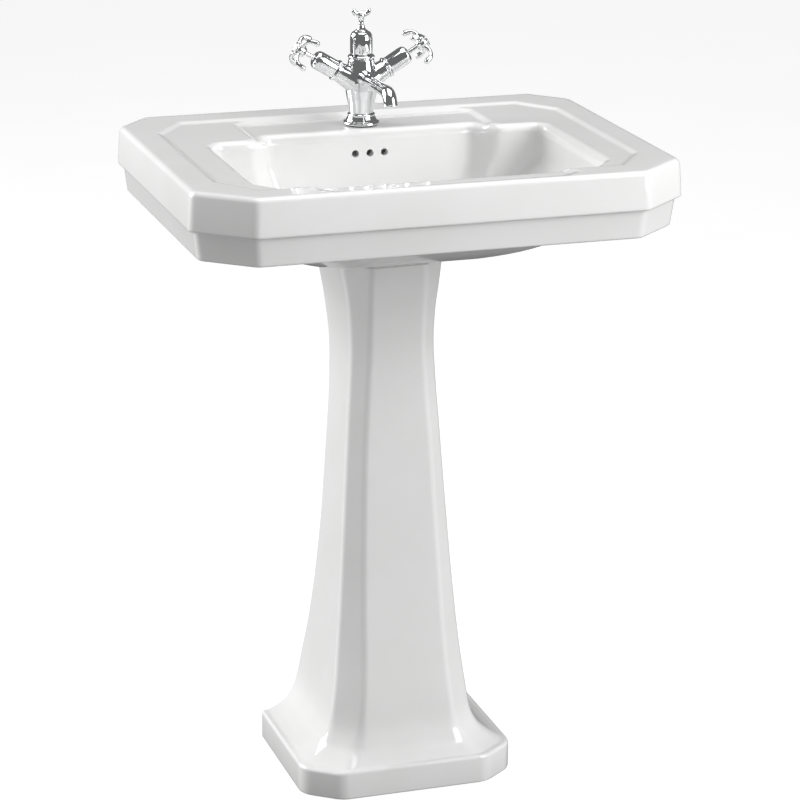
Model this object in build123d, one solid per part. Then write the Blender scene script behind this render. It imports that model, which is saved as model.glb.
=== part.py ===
from build123d import *
from math import cos, degrees, radians, sin, tan
import os

# Pedestal sink: octagonal china basin on a waisted pedestal, with a one-hole mixer tap, a pop-up
# waste and a bottle trap. Millimetres. The origin is on the floor under the middle of the basin,
# +X is the user's right, +Y points to the wall and +Z is up.

# ---- driving dimensions -------------------------------------------------------------------
WIDTH = 610.0
DEPTH = 472.0
RIM_Z = 824.0
BAND_H = 47.0
SKIRT_H = 83.0
BAND_STEP = 5.8
BAND_DRAFT = 2.8
SKIRT_DRAFT = 5.4
FRONT_CUT = (65.0, 56.0)
BACK_CUT = (42.0, 48.0)
WALL_T = 13.0
DECK_T = 19.0

STEP_HALF = 264.0
STEP_FRONT = -190.0
STEP_BACK = 190.0
STEP_CUT = (40.0, 56.0)
STEP_DROP = 2.5
LEDGE_HALF = 157.0
LEDGE_BACK = 184.0
LEDGE_DROP = 6.0
BOWL_HALF = 220.0
BOWL_FRONT = -182.0
BOWL_BACK = 110.0
BOWL_SIDE_BACK = 72.0
SHOULDER_IN = 140.0
SHOULDER_OUT = 158.0
BOWL_FLOOR_Z = 691.0
FOOT_Z = 675.0
OVERFLOW_Z = 789.0
OVERFLOW_PITCH = 19.0
OVERFLOW_R = 4.5
WALL_HOLE_SPACING = 280.0
WALL_HOLE_R = 6.0
WALL_HOLE_Z = 768.0

SEAL_T = 2.0
PLINTH_HALF = 141.0
PLINTH_FRONT = -95.0
PLINTH_BACK = 127.0
PLINTH_H = 37.0
PLINTH_CUT = (43.5, 33.5)
SHELL_T = 12.0
FLOOR_HOLE_SPACING = 210.0
FLOOR_HOLE_R = 4.0

TAP_Y = 140.0
TAP_HOLE_R = 17.0
ARM_Z = 869.0
ARM_TILT = 31.0
BODY_BASE_Z = 833.0
PILLAR_Z = 903.0
ROD_R = 2.0
KNOB_TRAVEL = 20.0
SPOUT_Z = 879.0
SPOUT_R = 8.5
SPOUT_BEND = 11.0
SPOUT_END_Y = 19.0
SPOUT_END_Z = 865.0
SPOUT_RING_R = 9.9
AERATOR_R = 6.6
SPINDLE_R = 2.8
TAIL_X = 9.5
TAIL_Y = TAP_Y - 5.5
TAIL_R = 5.0
TAIL_END_Z = 560.0
TAIL_GRIP = 40.0
STUD_Y = TAP_Y + 11.0
STUD_R = 3.0

WASTE_Y = 38.0
WASTE_R = 20.0
WASTE_BORE_R = 17.0
WASTE_END_Z = 596.0
PIVOT_Z = 634.0
INNER_ARM = 27.0
OUTER_ARM = 78.0
PIVOT_Y = WASTE_Y + INNER_ARM
STRAP_Y = PIVOT_Y + OUTER_ARM
TRAP_R = 28.0
TRAP_OUTLET_Z = 530.0
OUTLET_END_Y = 118.0
OUTLET_GRIP = 28.0
OUTLET_R = 16.0

BALL_R = 5.6
BALL_BORE_R = 6.2
EYE_R = 3.1
EYE_PITCH = 11.0
CLAMP_Z = 694.0
STRAP_T = 1.6
SCREW_R = 2.0
NUT_START_Y = 68.0
SPIGOT_START_Y = 60.0
PIPE_START_Y = 76.0
SPIGOT_BODY_R = 18.0
FLANGE_RING_R = 32.0
GRID_LOW_Z = 679.5
GRID_HIGH_Z = 685.5

BOWL_BOTTOM_BACK = 84.0
BOWL_FRONT_CUT = (28.0, 33.0)
BOWL_BACK_CUT = (13.0, 15.0)
# share of the depth, and how far the sides and the front have drawn in there
BOWL_LEVELS = [(0, 0, 0), (0.33, 7, 9), (0.56, 23, 26), (0.75, 61, 61), (0.9, 111, 111), (1, 176, 181)]
LEDGE_Z = RIM_Z - LEDGE_DROP
GASKET_T = 1.5
FLANGE_Z = LEDGE_Z + GASKET_T
SPIGOT_R = 16.2
SPIGOT_H = 7.0
ARM_END = 37.0
COLLAR_T = 4.0
COVER_END = 72.0
HUB_START = 86.0
HUB_END = 98.0
HUB_FACE = HUB_END - 4
KNOB_Z = 945.5
BAND_Z = RIM_Z - BAND_H
SKIRT_Z = RIM_Z - SKIRT_H
DECK_UNDER_Z = RIM_Z - LEDGE_DROP - DECK_T
PEDESTAL_TOP_Z = FOOT_Z - SEAL_T
# height, half width, front face, corner cut and rear edge of the shaft
SHAFT = [
    (PEDESTAL_TOP_Z, 67.0, -21.0, 32.0, 125.0),
    (640.0, 61.3, -18.8, 25.5, 122.5),
    (605.0, 57.0, -14.8, 22.0, 115.0),
    (565.0, 55.4, -12.8, 20.5, 102.0),
    (520.0, 57.3, -14.0, 19.6, 91.5),
    (460.0, 61.3, -18.0, 19.6, 86.0),
    (350.0, 68.5, -27.8, 21.5, 86.0),
    (250.0, 75.5, -39.5, 24.5, 94.0),
    (170.0, 82.5, -51.5, 28.5, 107.0),
    (115.0, 89.0, -61.7, 31.0, 120.0),
    (80.0, 95.5, -66.0, 33.0, 123.0),
    (58.0, 106.0, -73.0, 36.0, 124.0),
    (45.0, 121.0, -82.5, 38.0, 125.0),
    (PLINTH_H + 1, 135.0, -89.5, 40.0, 126.0),
]
SWING = KNOB_TRAVEL / OUTER_ARM
REST_TILT = SWING / 2
BIG = 400.0
FIT = 0.05

parts = {}


# ---- helpers ------------------------------------------------------------------------------
def outline(z, half, front, back, front_cut, back_cut, radius=0.0):
    """Flat octagon at height z; each cut is the corner's leg along X and along Y."""
    fx, fy = front_cut
    bx, by = back_cut
    right = [(half - fx, front), (half, front + fy), (half, back - by), (half - bx, back)]
    left = [(-x, y) for x, y in reversed(right)]
    face = make_face(Polyline(*right, *left, close=True))
    if radius:
        face = fillet(face.vertices(), radius)
    return Pos(0, 0, z) * face


def turned(points):
    """Solid of revolution about Z from (radius, z) points."""
    return revolve(make_face(Plane.XZ * Polyline(*points, close=True)), axis=Axis.Z)


def tube(outer_r, inner_r, low, high):
    return turned([(inner_r, low), (outer_r, low), (outer_r, high), (inner_r, high)])


def rod(radius, low, high):
    return Pos(0, 0, low) * Cylinder(radius, high - low, align=(Align.CENTER, Align.CENTER, Align.MIN))


def block(low, high):
    """Box between two opposite corners."""
    size = [b - a for a, b in zip(low, high)]
    return Pos(*low) * Box(*size, align=(Align.MIN, Align.MIN, Align.MIN))


def ring_six(across, inner_r, low, high):
    """Hexagonal nut, across its flats, with a round bore."""
    nut = extrude(RegularPolygon(across / 2, 6, major_radius=False), high - low)
    return Pos(0, 0, low) * nut - rod(inner_r, low, high)


def along_y(shape, x=0.0, y=0.0, z=0.0):
    """Puts a shape made about +Z onto a line that runs along +Y from (x, y, z)."""
    return Plane(origin=(x, y, z), x_dir=(1, 0, 0), z_dir=(0, 1, 0)).location * shape


def at_tap(shape):
    return Pos(0, TAP_Y, 0) * shape


def at_waste(shape):
    return Pos(0, WASTE_Y, 0) * shape


def on_arm(shape, side):
    """Puts a shape made about +Z onto the raised arm; side is -1 for hot and +1 for cold."""
    tilt = radians(ARM_TILT)
    plane = Plane(origin=(0, TAP_Y, ARM_Z), x_dir=(0, 1, 0), z_dir=(side * cos(tilt), 0, sin(tilt)))
    return plane.location * shape


def edges_near(shape, z, slack=0.6):
    """Level edges of a shape that lie at height z."""
    level = shape.edges().filter_by(lambda e: abs(e.tangent_at(0.5).Z) < 0.05)
    return level.filter_by(lambda e: abs(e.center().Z - z) < slack)


# ---- basin --------------------------------------------------------------------------------
def band(low_z, high_z, inset, draft, edge_r):
    """One step of the skirt, drafted on the front and sides and plumb at the wall."""
    half, front = WIDTH / 2 - inset, -DEPTH / 2 + inset
    low = outline(low_z, half, front, DEPTH / 2, FRONT_CUT, BACK_CUT)
    high = outline(high_z, half - draft, front + draft, DEPTH / 2, FRONT_CUT, BACK_CUT)
    solid = loft([low.face(), high.face()], ruled=True)
    upright = solid.edges().filter_by(lambda e: abs(e.tangent_at(0.5).Z) > 0.8)
    return fillet(upright, edge_r)


def bowl_section(z, half, front, back, side_back, size, radius):
    """Bowl outline with its back edge stepped forward at both ends; size scales the corners."""
    fx, fy = (size * leg for leg in BOWL_FRONT_CUT)
    bx, by = (size * leg for leg in BOWL_BACK_CUT)
    reach = half / BOWL_HALF
    right = [(half - fx, front), (half, front + fy), (half, side_back - by), (half - bx, side_back)]
    right += [(SHOULDER_OUT * reach, side_back), (SHOULDER_IN * reach, back)]
    left = [(-x, y) for x, y in reversed(right)]
    face = make_face(Polyline(*right, *left, close=True))
    return (Pos(0, 0, z) * fillet(face.vertices(), radius)).face()


def bowl(grow):
    """Bowl interior, or the china round it when grow is the wall's thickness."""
    depth = RIM_Z - BOWL_FLOOR_Z
    sections = []
    for share, side_in, front_in in BOWL_LEVELS:
        z = RIM_Z - (depth + grow) * share
        half = BOWL_HALF - side_in + grow
        front = BOWL_FRONT + front_in - grow
        back = BOWL_BACK - (BOWL_BACK - BOWL_BOTTOM_BACK) * share + grow
        step = (BOWL_BACK - BOWL_SIDE_BACK) * (1 - 0.85 * share)
        size = 1 - 0.6 * side_in / BOWL_HALF
        sections.append(bowl_section(z, half, front, back, back - step, size, 8 * size ** 2))
    top = sections[0].moved(Location((0, 0, 6)))
    return loft([top, sections[0]], ruled=True) + loft(sections)


def trough():
    """Hollow between the skirt and the bowl, open underneath."""
    half, front, back = WIDTH / 2 - WALL_T - 8, -DEPTH / 2 + WALL_T + 8, DEPTH / 2 - WALL_T
    face = outline(SKIRT_Z - 5, half, front, back, FRONT_CUT, BACK_CUT, 6)
    return extrude(face, DECK_UNDER_Z - SKIRT_Z + 5)


def overflow_duct():
    """Slot down the back of the bowl and forward to the waste, with its three inlets."""
    upright = block((-30, 116, 679), (30, 122, OVERFLOW_Z + 6))
    level = block((-16, WASTE_Y, 679), (16, 122, 686))
    inlets = [
        along_y(rod(OVERFLOW_R, 0, 20), x, BOWL_BACK - 12, OVERFLOW_Z)
        for x in (-OVERFLOW_PITCH, 0, OVERFLOW_PITCH)
    ]
    return upright + level + inlets


def make_basin():
    upper = band(BAND_Z, RIM_Z, 0, BAND_DRAFT, 8)
    upper = fillet(edges_near(upper, RIM_Z), 7)
    upper = fillet(edges_near(upper, BAND_Z), 1.5)
    skirt_inset = BAND_STEP + SKIRT_DRAFT
    lower = band(SKIRT_Z, BAND_Z + 8, skirt_inset, -SKIRT_DRAFT, 8)
    lower = fillet(edges_near(lower, SKIRT_Z), 2)
    shell = bowl(WALL_T)
    foot_hull = outline(FOOT_Z, 71, -26, 127.5, (32, 32), (10, 10), 6)
    foot = extrude(foot_hull, 24)
    duct_wall = block((-38, 60, FOOT_Z), (38, 128, DECK_UNDER_Z + 1))
    basin = upper + lower - trough() + shell + foot + duct_wall
    basin -= block((-BIG, -BIG, FOOT_Z - 50), (BIG, BIG, FOOT_Z))
    basin -= bowl(0)
    basin -= block((-BIG, -BIG, RIM_Z), (BIG, BIG, RIM_Z + 50))
    step = outline(RIM_Z - STEP_DROP, STEP_HALF, STEP_FRONT, STEP_BACK, STEP_CUT, STEP_CUT, 4)
    basin -= extrude(step, STEP_DROP + 5)
    ledge = outline(LEDGE_Z, LEDGE_HALF, 0, LEDGE_BACK, (20, 20), (20, 20), 6)
    basin -= extrude(ledge, LEDGE_DROP + 5)
    basin -= overflow_duct()
    basin -= at_tap(rod(TAP_HOLE_R, DECK_UNDER_Z - 5, RIM_Z))
    basin -= at_waste(rod(WASTE_R + 2, FOOT_Z, BOWL_FLOOR_Z + 5))
    basin -= at_waste(rod(WASTE_R + 13, BOWL_FLOOR_Z - 0.5, BOWL_FLOOR_Z + 30))
    for x in (-WALL_HOLE_SPACING / 2, WALL_HOLE_SPACING / 2):
        basin -= along_y(rod(WALL_HOLE_R, 0, 40), x, DEPTH / 2 - 30, WALL_HOLE_Z)
    return basin


# ---- pedestal -----------------------------------------------------------------------------
def shaft(inset, reach):
    """Shaft down to the plinth; inset draws it in and reach carries it past the open back."""
    sections = []
    for z, half, front, cut, back in SHAFT:
        corner = cut - 0.4 * inset
        points = [(half - inset - corner, front + inset), (half - inset, front + inset + corner)]
        points.append((half - inset, back + reach))
        left = [(-x, y) for x, y in reversed(points)]
        sections.append(Pos(0, 0, z) * make_face(Polyline(*points, *left, close=True)).face())
    return loft(sections, ruled=True)


def plinth(inset, low, high):
    half, front = PLINTH_HALF - inset, PLINTH_FRONT + inset
    face = outline(low, half, front, PLINTH_BACK + inset, PLINTH_CUT, (9, 9), 5)
    return extrude(face, high - low)


def make_pedestal():
    outer = shaft(0, 0)
    base = plinth(0, 0, PLINTH_H + 1)
    base = fillet(edges_near(base, PLINTH_H + 1), 4)
    pedestal = outer + base
    pedestal -= shaft(SHELL_T, 60)
    pedestal -= plinth(SHELL_T, -1, PLINTH_H + 1)
    for side in (-1, 1):
        x = side * FLOOR_HOLE_SPACING / 2
        lug = block((x - 26, 84, 0), (x + 26, PLINTH_BACK, 12))
        pedestal += lug & plinth(2, 0, 12)
        pedestal -= Pos(x, 106, 0) * rod(FLOOR_HOLE_R, -1, 13)
    return pedestal


def make_pedestal_seal():
    """Bead of sealant between the basin and the shaft's top edge."""
    z, half, front, cut, back = SHAFT[0]
    inset = 3.0
    side, edge, end = half - inset, front + inset, back - inset
    width = 5.0
    corner = side - cut
    shift = width / 2
    right = make_face(Polyline(
        (corner, edge), (side, edge + cut), (side, end), (side - width, end),
        (side - width, edge + cut + shift), (corner - shift, edge + width), close=True,
    ))
    bridge = make_face(Polyline(
        (corner, edge), (corner - shift, edge + width), (shift - corner, edge + width), (-corner, edge),
        close=True,
    ))
    face = right + mirror(right, about=Plane.YZ) + bridge
    return Pos(0, 0, PEDESTAL_TOP_Z) * extrude(face, SEAL_T)


# ---- tap body -----------------------------------------------------------------------------
def make_tap_foot():
    profile = [
        (SPIGOT_R, FLANGE_Z), (21.5, FLANGE_Z), (22.0, FLANGE_Z + 1.5), (21.0, FLANGE_Z + 4),
        (18.4, FLANGE_Z + 7), (16.6, BODY_BASE_Z), (12, BODY_BASE_Z), (12, FLANGE_Z + SPIGOT_H),
        (SPIGOT_R, FLANGE_Z + SPIGOT_H),
    ]
    return at_tap(turned(profile))


def arm_blank(side):
    return on_arm(turned([(0, 0), (16, 0), (16, 8), (12, ARM_END), (0, ARM_END)]), side)


def make_tap_body():
    profile = [
        (0, FLANGE_Z), (SPIGOT_R, FLANGE_Z), (SPIGOT_R, FLANGE_Z + SPIGOT_H), (12, FLANGE_Z + SPIGOT_H),
        (12, BODY_BASE_Z), (15.4, BODY_BASE_Z), (16.8, 845), (19.2, 858), (20.0, 868), (19.8, 880),
        (17.8, 895), (16.2, PILLAR_Z), (10, PILLAR_Z), (10, PILLAR_Z + 12), (0, PILLAR_Z + 12),
    ]
    body = at_tap(turned(profile))
    for side in (-1, 1):
        body += arm_blank(side)
    body -= at_tap(rod(ROD_R + 0.5, 800, 930))
    for side in (-1, 1):
        body -= on_arm(rod(7, 22, ARM_END + 5), side)
        body -= Pos(side * TAIL_X, TAIL_Y, 0) * rod(TAIL_R, FLANGE_Z - 1, FLANGE_Z + 6)
    body -= Pos(0, STUD_Y, 0) * rod(STUD_R, FLANGE_Z - 1, FLANGE_Z + 6)
    return body


def make_spout(body):
    start = (0, TAP_Y - 8, SPOUT_Z)
    turn_in = (0, SPOUT_END_Y + SPOUT_BEND, SPOUT_Z)
    turn_out = (0, SPOUT_END_Y, SPOUT_Z - SPOUT_BEND)
    lead = Line(start, turn_in)
    elbow = TangentArc(turn_in, turn_out, tangent=lead % 1)
    path = Wire([lead.edge(), elbow.edge()])
    section = Plane(origin=start, z_dir=lead % 0) * Circle(SPOUT_R)
    return sweep(section, path=path) - body


def make_aerator():
    centre = Pos(0, SPOUT_END_Y, 0)
    top = SPOUT_Z - SPOUT_BEND
    roof = top - 1.0
    housing = centre * (tube(SPOUT_RING_R, AERATOR_R, SPOUT_END_Z, top) + rod(SPOUT_RING_R, roof, top))
    insert = centre * rod(AERATOR_R - FIT, SPOUT_END_Z + 0.6, roof - FIT)
    for ring_r, count in ((2.0, 6), (4.4, 12)):
        holes = [centre * loc * rod(0.55, SPOUT_END_Z, top) for loc in PolarLocations(ring_r, count)]
        insert -= holes
    return housing, insert


def make_pillar():
    bead = turned([(10, PILLAR_Z), (15.4, PILLAR_Z), (16.6, 904.4), (16.6, 905.8), (15.4, 907), (10, 907)])
    bore = ROD_R + 0.5
    cover = turned([
        (10, 907), (14, 907), (14, 928), (13.4, 932), (11.6, 935.4), (8.6, 937),
        (bore, 937), (bore, 915), (10, 915),
    ])
    cap = turned([(bore, 937), (8.2, 937), (5.6, 939), (4.3, 942), (3.8, 945), (bore, 945)])
    return at_tap(bead), at_tap(cover), at_tap(cap)


def make_lift_knob():
    stem = turned([
        (0, KNOB_Z), (3.2, KNOB_Z), (2.9, KNOB_Z + 3), (3.4, KNOB_Z + 7), (4.8, KNOB_Z + 10.5),
        (0, KNOB_Z + 12),
    ])
    tip_x, tip_z = 12.3, KNOB_Z + 19.5
    low = ThreePointArc((-tip_x, tip_z), (0, KNOB_Z + 9), (tip_x, tip_z))
    high = ThreePointArc((tip_x, tip_z), (0, KNOB_Z + 15), (-tip_x, tip_z))
    wings = extrude(Plane.XZ * make_face([low.edge(), high.edge()]), 3.0, both=True)
    return at_tap(stem + wings - rod(ROD_R, KNOB_Z - 1, KNOB_Z + 9))


# ---- each side of the tap -----------------------------------------------------------------
def make_collar():
    low, high = ARM_END, ARM_END + COLLAR_T
    return turned([(7, low), (12.6, low), (13.4, low + 1), (13.4, high - 1), (12.6, high), (7, high)])


def make_valve_cover():
    low = ARM_END + COLLAR_T
    return turned([
        (9, low), (11.5, low), (11.5, COVER_END - 5), (10.6, COVER_END - 2), (8.2, COVER_END),
        (4, COVER_END), (4, COVER_END - 2.5), (9, COVER_END - 2.5),
    ])


def make_cartridge():
    bore = SPINDLE_R + FIT
    low = ARM_END + COLLAR_T
    return turned([
        (0, 24), (7, 24), (7, low), (8.6, low), (8.6, 58), (6, 60), (6, 66), (bore, 66), (bore, 34),
        (0, 34),
    ])


def make_spindle():
    return rod(SPINDLE_R, 34.5, HUB_FACE) - rod(1.6, HUB_FACE - 7, HUB_FACE)


def make_claw():
    hub = turned([
        (SPINDLE_R, HUB_START), (5.4, HUB_START), (7.4, HUB_START + 3), (7.8, HUB_END - 2),
        (7.4, HUB_END), (4.4, HUB_END), (4.4, HUB_FACE), (SPINDLE_R, HUB_FACE),
    ])
    root = HUB_FACE - 0.5
    arm_path = Spline((0, 0, root), (14, 0, root + 2.5), (22.5, 0, root - 2.5), (25.0, 0, root - 10))
    section = Plane(origin=arm_path @ 0, z_dir=arm_path % 0) * Circle(2.3)
    arm = sweep(section, path=arm_path) + Pos(*(arm_path @ 1)) * Sphere(2.9)
    arm -= rod(6.5, HUB_START - 10, HUB_END + 5) + rod(8.5, HUB_END, HUB_END + 5)
    claw = hub
    for corner in range(4):
        claw += Rot(0, 0, 45 + 90 * corner) * arm
    return claw


def make_handle_screw():
    head = rod(3.8, HUB_FACE, HUB_FACE + 2.4) + rod(1.6, HUB_FACE - 6, HUB_FACE)
    return head - Pos(0, 0, HUB_FACE + 1.2) * Box(0.8, 6, 2.6)


def make_bezel():
    top = HUB_END + 3
    return turned([(5.6, HUB_END), (7.4, HUB_END), (7.6, HUB_END + 1.6), (6.8, top), (5.6, top)])


def make_disc():
    base = HUB_END
    return turned([(0, base), (5.6, base), (5.6, base + 2.2), (3.5, base + 3.1), (0, base + 3.4)])


# ---- tap fixings and tails ----------------------------------------------------------------
def make_fixings():
    top = DECK_UNDER_Z
    blank = at_tap(rod(25, top - 3, top)) - block((-16, TAP_Y - 30, 0), (16, STUD_Y - 4.6, 900))
    blank -= block((-60, 0, 0), (60, 130, 900))
    blank -= Pos(0, STUD_Y, 0) * rod(STUD_R, 700, 900)
    rubber = blank
    metal = Pos(0, 0, -3) * blank
    nut = Pos(0, STUD_Y, 0) * ring_six(10, STUD_R, top - 14, top - 6)
    stud = Pos(0, STUD_Y, 0) * rod(STUD_R, top - 30, FLANGE_Z + 6)
    return stud, rubber, metal, nut


def make_tail(side):
    bead_z = TAIL_END_Z + TAIL_GRIP
    pipe = tube(TAIL_R, TAIL_R - 1, TAIL_END_Z, FLANGE_Z + 6)
    pipe += tube(TAIL_R + 0.8, TAIL_R - 1, bead_z, bead_z + 2)
    return Pos(side * TAIL_X, TAIL_Y, 0) * pipe


# ---- pop-up waste -------------------------------------------------------------------------
def make_waste_body():
    lip, floor = FLANGE_RING_R, BOWL_FLOOR_Z
    body = at_waste(turned([
        (WASTE_BORE_R, WASTE_END_Z), (WASTE_R, WASTE_END_Z), (WASTE_R, floor + 1), (lip, floor + 1),
        (lip, floor + 2), (lip - 4, floor + 3), (lip - 10, floor + 3), (WASTE_BORE_R, floor - 5),
    ]))
    slot = block((-6, -30, GRID_LOW_Z), (6, 30, GRID_HIGH_Z))
    body -= at_waste(slot) + at_waste(Rot(0, 0, 90) * slot)
    boss = along_y(rod(9.5, 0, 12), 0, NUT_START_Y - 12, PIVOT_Z)
    boss -= at_waste(rod(WASTE_R - 1, WASTE_END_Z, FOOT_Z))
    return body + boss - along_y(rod(BALL_BORE_R, 0, 30), 0, NUT_START_Y - 18, PIVOT_Z)


def make_waste_seals():
    upper = at_waste(tube(31, WASTE_R + 1, BOWL_FLOOR_Z - 0.5, BOWL_FLOOR_Z + 1))
    lower = at_waste(tube(30, WASTE_R, FOOT_Z - 4, FOOT_Z))
    backnut = at_waste(ring_six(54, WASTE_R, FOOT_Z - 14, FOOT_Z - 4))
    return upper, lower, backnut


def make_plug():
    """Plug in its raised, open place; the seat is INNER_ARM * SWING lower."""
    lift = INNER_ARM * SWING
    eye_z = PIVOT_Z + INNER_ARM * tan(REST_TILT)
    brim = BOWL_FLOOR_Z + 3.3 + lift
    cap = at_waste(turned([(0, brim), (21.2, brim), (21.5, brim + 1.2), (17, brim + 3.1), (0, brim + 4.1)]))
    neck = at_waste(rod(6, brim - 4.3, brim))
    stem = at_waste(block((-6.5, -1.5, eye_z - 8), (6.5, 1.5, brim - 4.3)))
    guide = at_waste(rod(15.5, brim - 18.3, brim - 16.3) & block((-BIG, -2.5, 0), (BIG, 2.5, 900)))
    eye = along_y(rod(EYE_R + 0.1, -10, 10), 0, WASTE_Y, eye_z)
    seal = at_waste(tube(19.3, 6, brim - 3.3, brim))
    return cap + neck + stem + guide - eye, seal


def make_pivot():
    """Lever through the waste body's ball joint, tilted to its rest angle."""
    inner = along_y(rod(2.2, -INNER_ARM - 3, 0))
    outer = along_y(rod(2.5, 0, OUTER_ARM + 12))
    trunnion = Rot(0, 90, 0) * Cylinder(1.2, 2 * BALL_R + 0.6)
    lever = inner + outer + Sphere(BALL_R) + trunnion
    turn = Pos(0, PIVOT_Y, PIVOT_Z) * Rot(-degrees(REST_TILT), 0, 0)
    clip = along_y(tube(5, 2.5, OUTER_ARM + 3.2, OUTER_ARM + 7.2))
    return turn * lever, turn * clip


def make_pivot_fittings():
    seat = along_y(tube(BALL_BORE_R, 4.4, 0, 3), 0, NUT_START_Y - 10.8, PIVOT_Z)
    nut = along_y(ring_six(19, 4.8, 0, 5), 0, NUT_START_Y, PIVOT_Z)
    return seat, nut


def make_lift_rod():
    return at_tap(rod(ROD_R, 684, KNOB_Z + 9))


def make_strap():
    eye_z = PIVOT_Z - OUTER_ARM * tan(REST_TILT)
    front, back = STRAP_Y - STRAP_T / 2, STRAP_Y + STRAP_T / 2
    strap = block((-5, front, eye_z - 9), (5, back, CLAMP_Z + 8))
    for step in range(5):
        strap -= along_y(rod(EYE_R, -5, 5), 0, STRAP_Y, eye_z + EYE_PITCH * step)
    strap -= along_y(rod(SCREW_R, -5, 5), 0, STRAP_Y, CLAMP_Z)
    bore = at_tap(rod(ROD_R, CLAMP_Z - 20, CLAMP_Z + 20))
    clamp = block((-4, TAP_Y - 2.8, CLAMP_Z - 6), (4, front, CLAMP_Z + 6)) - bore
    clamp -= along_y(rod(SCREW_R, 0, 20), 0, TAP_Y, CLAMP_Z) - bore
    screw_start = TAP_Y + ROD_R + 0.1
    screw = along_y(rod(SCREW_R, 0, back - screw_start), 0, screw_start, CLAMP_Z)
    screw += along_y(rod(5, 0, 5), 0, back, CLAMP_Z)
    return strap, clamp, screw


# ---- bottle trap --------------------------------------------------------------------------
def make_trap():
    top = WASTE_END_Z - 3
    shoulder, rim = TRAP_OUTLET_Z + 21, TRAP_OUTLET_Z - 23
    inner, dip = TRAP_R - 3, WASTE_BORE_R + 1
    body = at_waste(turned([
        (WASTE_BORE_R, top), (WASTE_R + 1, top), (WASTE_R + 1, shoulder + 8), (TRAP_R, shoulder),
        (TRAP_R, rim), (inner, rim), (inner, shoulder - 2), (dip, shoulder + 6), (dip, rim - 22),
        (WASTE_BORE_R, rim - 22),
    ]))
    low = rim - 44
    spigot = along_y(rod(SPIGOT_BODY_R, 0, PIPE_START_Y - SPIGOT_START_Y), 0, SPIGOT_START_Y, TRAP_OUTLET_Z)
    spigot -= at_waste(rod(TRAP_R - 1, low, top))
    body = body + spigot - along_y(rod(14.5, 0, 40), 0, SPIGOT_START_Y + 1, TRAP_OUTLET_Z)
    cup = at_waste(turned([
        (0, low), (20, low), (26, low + 3), (TRAP_R + 1, low + 8), (TRAP_R + 1, rim - 2), (inner, rim - 2),
        (inner, low + 10), (0, low + 6),
    ]))
    cup_seal = at_waste(tube(TRAP_R, inner, rim - 2, rim))
    return body, cup, cup_seal


def make_trap_joints():
    top = WASTE_END_Z - 3
    inlet_seal = at_waste(tube(WASTE_R, WASTE_BORE_R, top, WASTE_END_Z))
    nut = ring_six(53, WASTE_R, top - 9, WASTE_END_Z + 10) - rod(WASTE_R + 1, top - 9, WASTE_END_Z)
    inlet_nut = at_waste(nut)
    outlet_seal = along_y(tube(SPIGOT_BODY_R, OUTLET_R, 0, 3), 0, PIPE_START_Y, TRAP_OUTLET_Z)
    length = OUTLET_END_Y - PIPE_START_Y
    pipe = tube(OUTLET_R, OUTLET_R - 1.5, 0, length)
    bead = tube(OUTLET_R + 1, OUTLET_R - 1.5, length - OUTLET_GRIP - 2, length - OUTLET_GRIP)
    outlet_pipe = along_y(pipe + bead, 0, PIPE_START_Y, TRAP_OUTLET_Z)
    nut = ring_six(42, OUTLET_R, 0, 19) - rod(SPIGOT_BODY_R, 0, 13)
    outlet_nut = along_y(nut, 0, PIPE_START_Y - 10, TRAP_OUTLET_Z)
    outlet_nut -= at_waste(rod(TRAP_R + 0.2, TRAP_OUTLET_Z - 60, TRAP_OUTLET_Z + 60))
    return inlet_seal, inlet_nut, outlet_seal, outlet_nut, outlet_pipe


# ---- the whole sink -----------------------------------------------------------------------
parts["basin"] = make_basin()
parts["pedestal"] = make_pedestal()
parts["pedestal_seal"] = make_pedestal_seal()

parts["tap_base_gasket"] = at_tap(tube(20, 17, LEDGE_Z, FLANGE_Z))
parts["tap_foot"] = make_tap_foot()
parts["tap_body"] = make_tap_body()
parts["spout"] = make_spout(parts["tap_body"])
parts["aerator_housing"], parts["aerator_insert"] = make_aerator()
parts["pillar_bead"], parts["pillar_cover"], parts["pillar_cap"] = make_pillar()
parts["lift_knob"] = make_lift_knob()
parts["lift_rod"] = make_lift_rod()

for side, name in ((-1, "hot"), (1, "cold")):
    parts[name + "_collar"] = on_arm(make_collar(), side)
    parts[name + "_valve_cover"] = on_arm(make_valve_cover(), side)
    parts[name + "_cartridge"] = on_arm(make_cartridge(), side)
    parts[name + "_spindle"] = on_arm(make_spindle(), side)
    parts[name + "_handle"] = on_arm(make_claw(), side)
    parts[name + "_handle_screw"] = on_arm(make_handle_screw(), side)
    parts[name + "_index_bezel"] = on_arm(make_bezel(), side)
    parts[name + "_index_disc"] = on_arm(make_disc(), side)
    parts[name + "_tail"] = make_tail(side)

for name, solid in zip(("stud", "rubber", "plate", "nut"), make_fixings()):
    parts["fixing_" + name] = solid

parts["waste_body"] = make_waste_body()
parts["waste_upper_seal"], parts["waste_lower_seal"], parts["waste_backnut"] = make_waste_seals()
parts["plug"], parts["plug_seal"] = make_plug()
parts["pivot_rod"], parts["rod_clip"] = make_pivot()
parts["pivot_seat"], parts["pivot_nut"] = make_pivot_fittings()
parts["lift_strap"], parts["strap_clamp"], parts["strap_screw"] = make_strap()

parts["trap_body"], parts["trap_cup"], parts["trap_cup_seal"] = make_trap()
joint_names = ("inlet_seal", "inlet_nut", "outlet_seal", "outlet_nut", "outlet_pipe")
for name, solid in zip(joint_names, make_trap_joints()):
    parts["trap_" + name] = solid

os.makedirs("parts", exist_ok=True)
for name, solid in parts.items():
    export_step(solid, os.path.join("parts", name + ".step"))
print(len(parts), "parts")
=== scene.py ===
from math import cos, hypot, pi, radians, sin, tan

import bmesh
import bpy
import numpy as np
from mathutils import Matrix, Vector


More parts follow.
